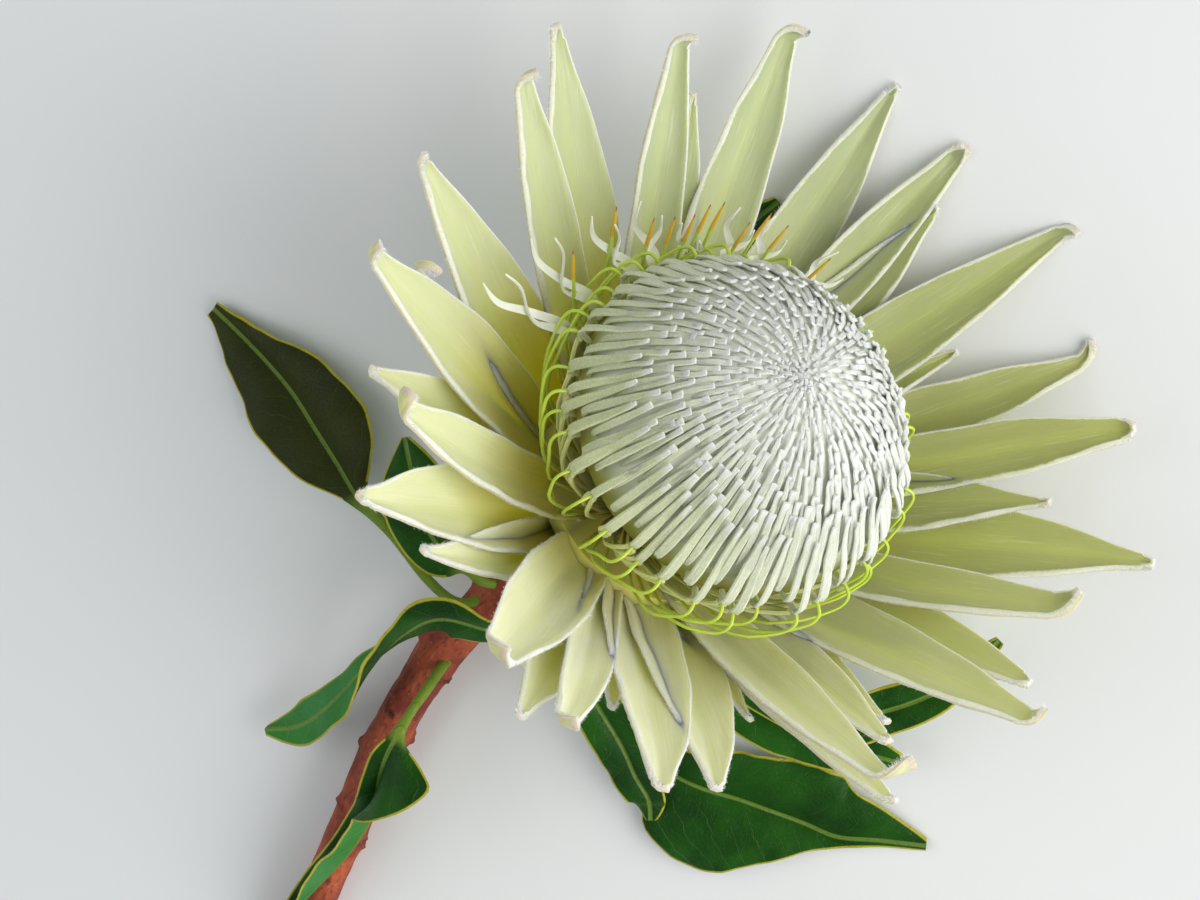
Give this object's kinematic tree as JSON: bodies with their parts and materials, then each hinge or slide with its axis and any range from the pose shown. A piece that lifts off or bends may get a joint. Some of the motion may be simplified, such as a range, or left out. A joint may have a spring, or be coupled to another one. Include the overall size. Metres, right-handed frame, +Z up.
{
  "type": "cut flower",
  "caption": "King protea cut flower lying on its side, with a woolly domed head in a bowl of pale pointed bracts, a woody stem and dark leathery leaves.",
  "frame": {"origin": "under the middle of the whole part's box, on the surface that it lies on", "axes": "+X from the cut end of the stem towards the flower face, along the longest side; +Y across; +Z up from the surface"},
  "size_m": [0.3725, 0.2821, 0.1796],
  "materials": {
    "stem_bark": "matte",
    "bract_cream": "matte",
    "floret_white": "matte",
    "leaf_a_green": "satin",
    "leaf_b_green": "satin",
    "leaf_c_green": "satin",
    "leaf_d_green": "satin",
    "leaf_e_green": "satin",
    "leaf_f_green": "satin",
    "leaf_g_green": "satin",
    "leaf_h_green": "satin",
    "leaf_i_green": "satin",
    "leaf_j_green": "satin"
  },
  "bodies": {
    "root": {"stem": "stem_bark", "bracts": "bract_cream", "floret_head": "floret_white", "leaf_a": "leaf_a_green", "leaf_b": "leaf_b_green", "leaf_c": "leaf_c_green", "leaf_d": "leaf_d_green", "leaf_e": "leaf_e_green", "leaf_f": "leaf_f_green", "leaf_g": "leaf_g_green", "leaf_h": "leaf_h_green", "leaf_i": "leaf_i_green", "leaf_j": "leaf_j_green"}
  },
  "joints": []
}
